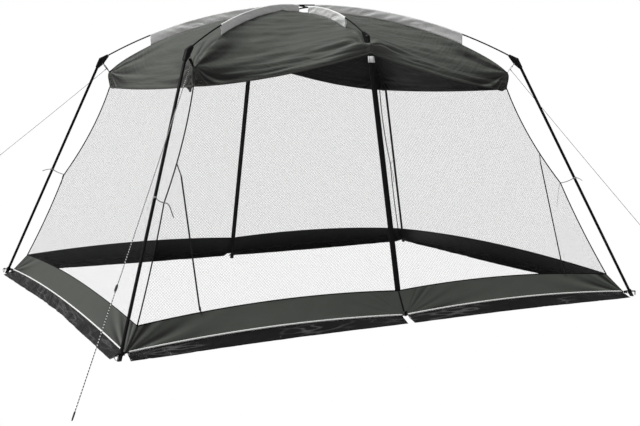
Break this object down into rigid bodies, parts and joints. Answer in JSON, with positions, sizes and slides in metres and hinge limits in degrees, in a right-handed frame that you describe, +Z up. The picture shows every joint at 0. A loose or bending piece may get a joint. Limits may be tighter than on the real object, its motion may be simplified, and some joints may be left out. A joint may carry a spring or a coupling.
{
  "type": "screen house",
  "caption": "Rectangular mesh-walled shelter on leaning steel legs and crossed arched poles, with a fabric canopy, sloping skirt, ground flaps, door zips and guy lines.",
  "frame": {"origin": "on the ground, at the centre of the plan", "axes": "+X along the long side, towards the viewer's right; +Y to the rear; +Z up"},
  "size_m": [4.4032, 3.9737, 2.1322],
  "materials": {
    "leg_steel": "satin black powder coat",
    "ring_steel": "zinc plated wire",
    "hub_plastic": "moulded black nylon",
    "cap_rubber": "matt",
    "fibreglass": "black pultruded fibreglass, satin",
    "ferrule_steel": "plated tube",
    "canopy_fabric": "grey-green coated polyester, low sheen",
    "sleeve_fabric": "light grey polyester",
    "mesh_fabric": "fine black insect netting",
    "skirt_fabric": "grey-green coated polyester",
    "flap_fabric": "glossy black coated fabric",
    "zip_tape": "black tape with a nylon coil",
    "zip_metal": "black enamelled zinc",
    "webbing": "woven black tape",
    "cord": "braided, with a reflective fleck"
  },
  "bodies": {
    "shelter": {"canopy": "canopy_fabric", "canopy_tabs": "webbing", "corner_hub_front_left": "hub_plastic", "corner_hub_front_right": "hub_plastic", "corner_hub_rear_left": "hub_plastic", "corner_hub_rear_right": "hub_plastic", "door_zippers": "zip_tape", "foot_webbing": "webbing", "ground_flaps": "flap_fabric", "guy_line_front_left": "cord", "guy_line_front_right": "cord", "guy_line_rear_left": "cord", "leg_end_caps": "cap_rubber", "leg_lower_front_left": "leg_steel", "leg_lower_front_middle": "leg_steel", "leg_lower_front_right": "leg_steel", "leg_lower_rear_left": "leg_steel", "leg_lower_rear_middle": "leg_steel", "leg_lower_rear_right": "leg_steel", "leg_upper_front_left": "leg_steel", "leg_upper_front_middle": "leg_steel", "leg_upper_front_right": "leg_steel", "leg_upper_rear_left": "leg_steel", "leg_upper_rear_middle": "leg_steel", "leg_upper_rear_right": "leg_steel", "mesh_wall_front_left": "mesh_fabric", "mesh_wall_front_right": "mesh_fabric", "mesh_wall_left": "mesh_fabric", "mesh_wall_rear_left": "mesh_fabric", "mesh_wall_rear_right": "mesh_fabric", "mesh_wall_right": "mesh_fabric", "middle_hub_front": "hub_plastic", "middle_hub_rear": "hub_plastic", "pole_sleeves": "sleeve_fabric", "roof_pole_ferrules": "ferrule_steel", "roof_pole_left_front": "fibreglass", "roof_pole_left_rear": "fibreglass", "roof_pole_middle": "fibreglass", "skirt_front_left": "skirt_fabric", "skirt_front_right": "skirt_fabric", "skirt_left": "skirt_fabric", "skirt_rear_left": "skirt_fabric", "skirt_rear_right": "skirt_fabric", "skirt_right": "skirt_fabric", "tie_tapes": "webbing"},
    "corner_link_front_left_body": {"corner_link_front_left": "ring_steel"},
    "corner_link_front_right_body": {"corner_link_front_right": "ring_steel"},
    "corner_link_rear_left_body": {"corner_link_rear_left": "ring_steel"},
    "corner_link_rear_right_body": {"corner_link_rear_right": "ring_steel"},
    "guy_tensioner_body": {"guy_tensioner": "hub_plastic"},
    "peg_ring_front_left_body": {"peg_ring_front_left": "ring_steel"},
    "peg_ring_front_middle_body": {"peg_ring_front_middle": "ring_steel"},
    "peg_ring_front_right_body": {"peg_ring_front_right": "ring_steel"},
    "peg_ring_rear_left_body": {"peg_ring_rear_left": "ring_steel"},
    "peg_ring_rear_middle_body": {"peg_ring_rear_middle": "ring_steel"},
    "peg_ring_rear_right_body": {"peg_ring_rear_right": "ring_steel"},
    "zip_pull_front_left_body": {"zip_pull_front_left": "zip_metal"},
    "zip_pull_front_right_body": {"zip_pull_front_right": "zip_metal"},
    "zip_slider_front_left_body": {"zip_slider_front_left": "zip_metal"},
    "zip_slider_front_right_body": {"zip_slider_front_right": "zip_metal"}
  },
  "joints": [
    {"name": "zip_slide_front_left", "type": "slide", "parent": "shelter", "child": "zip_slider_front_left_body", "axis": [0, 0.3423, 0.9396], "range_m": [0, 0.7914]},
    {"name": "zip_pull_swing_front_left", "type": "hinge", "parent": "zip_slider_front_left_body", "child": "zip_pull_front_left_body", "pos_m": [-1.4, -1.37522, 0.21456], "axis": [-1, 0, 0], "range_deg": [0, 150]},
    {"name": "zip_slide_front_right", "type": "slide", "parent": "shelter", "child": "zip_slider_front_right_body", "axis": [0, 0.3423, 0.9396], "range_m": [0, 0.7914]},
    {"name": "zip_pull_swing_front_right", "type": "hinge", "parent": "zip_slider_front_right_body", "child": "zip_pull_front_right_body", "pos_m": [1.4, -1.37522, 0.21456], "axis": [-1, 0, 0], "range_deg": [0, 150]},
    {"name": "corner_link_swing_rear_left", "type": "hinge", "parent": "shelter", "child": "corner_link_rear_left_body", "pos_m": [-1.27698, 0.9127, 1.694], "axis": [-0.5815, -0.8136, 0], "range_deg": [-10, 10]},
    {"name": "corner_link_swing_front_left", "type": "hinge", "parent": "shelter", "child": "corner_link_front_left_body", "pos_m": [-1.27698, -0.9127, 1.694], "axis": [0.5815, -0.8136, 0], "range_deg": [-10, 10]},
    {"name": "corner_link_swing_front_right", "type": "hinge", "parent": "shelter", "child": "corner_link_front_right_body", "pos_m": [1.27698, -0.9127, 1.694], "axis": [0.5815, 0.8136, 0], "range_deg": [-10, 10]},
    {"name": "corner_link_swing_rear_right", "type": "hinge", "parent": "shelter", "child": "corner_link_rear_right_body", "pos_m": [1.27698, 0.9127, 1.694], "axis": [-0.5815, 0.8136, 0], "range_deg": [-10, 10]},
    {"name": "peg_ring_swing_rear_left", "type": "hinge", "parent": "shelter", "child": "peg_ring_rear_left_body", "pos_m": [-1.95405, 1.53075, 0.036], "axis": [0.5815, 0.8136, 0], "range_deg": [0, 100]},
    {"name": "peg_ring_swing_front_left", "type": "hinge", "parent": "shelter", "child": "peg_ring_front_left_body", "pos_m": [-1.95405, -1.53075, 0.036], "axis": [-0.5815, 0.8136, 0], "range_deg": [0, 100]},
    {"name": "peg_ring_swing_front_middle", "type": "hinge", "parent": "shelter", "child": "peg_ring_front_middle_body", "pos_m": [0, -1.438, 0.062], "axis": [-1, 0, 0], "range_deg": [0, 100]},
    {"name": "peg_ring_swing_front_right", "type": "hinge", "parent": "shelter", "child": "peg_ring_front_right_body", "pos_m": [1.95405, -1.53075, 0.036], "axis": [-0.5815, -0.8136, 0], "range_deg": [0, 100]},
    {"name": "peg_ring_swing_rear_right", "type": "hinge", "parent": "shelter", "child": "peg_ring_rear_right_body", "pos_m": [1.95405, 1.53075, 0.036], "axis": [0.5815, -0.8136, 0], "range_deg": [0, 100]},
    {"name": "peg_ring_swing_rear_middle", "type": "hinge", "parent": "shelter", "child": "peg_ring_rear_middle_body", "pos_m": [0, 1.438, 0.062], "axis": [1, 0, 0], "range_deg": [0, 100]},
    {"name": "guy_tensioner_slide", "type": "slide", "parent": "shelter", "child": "guy_tensioner_body", "axis": [-0.4656, -0.598, -0.6524], "range_m": [-0.45, 0.6]}
  ]
}
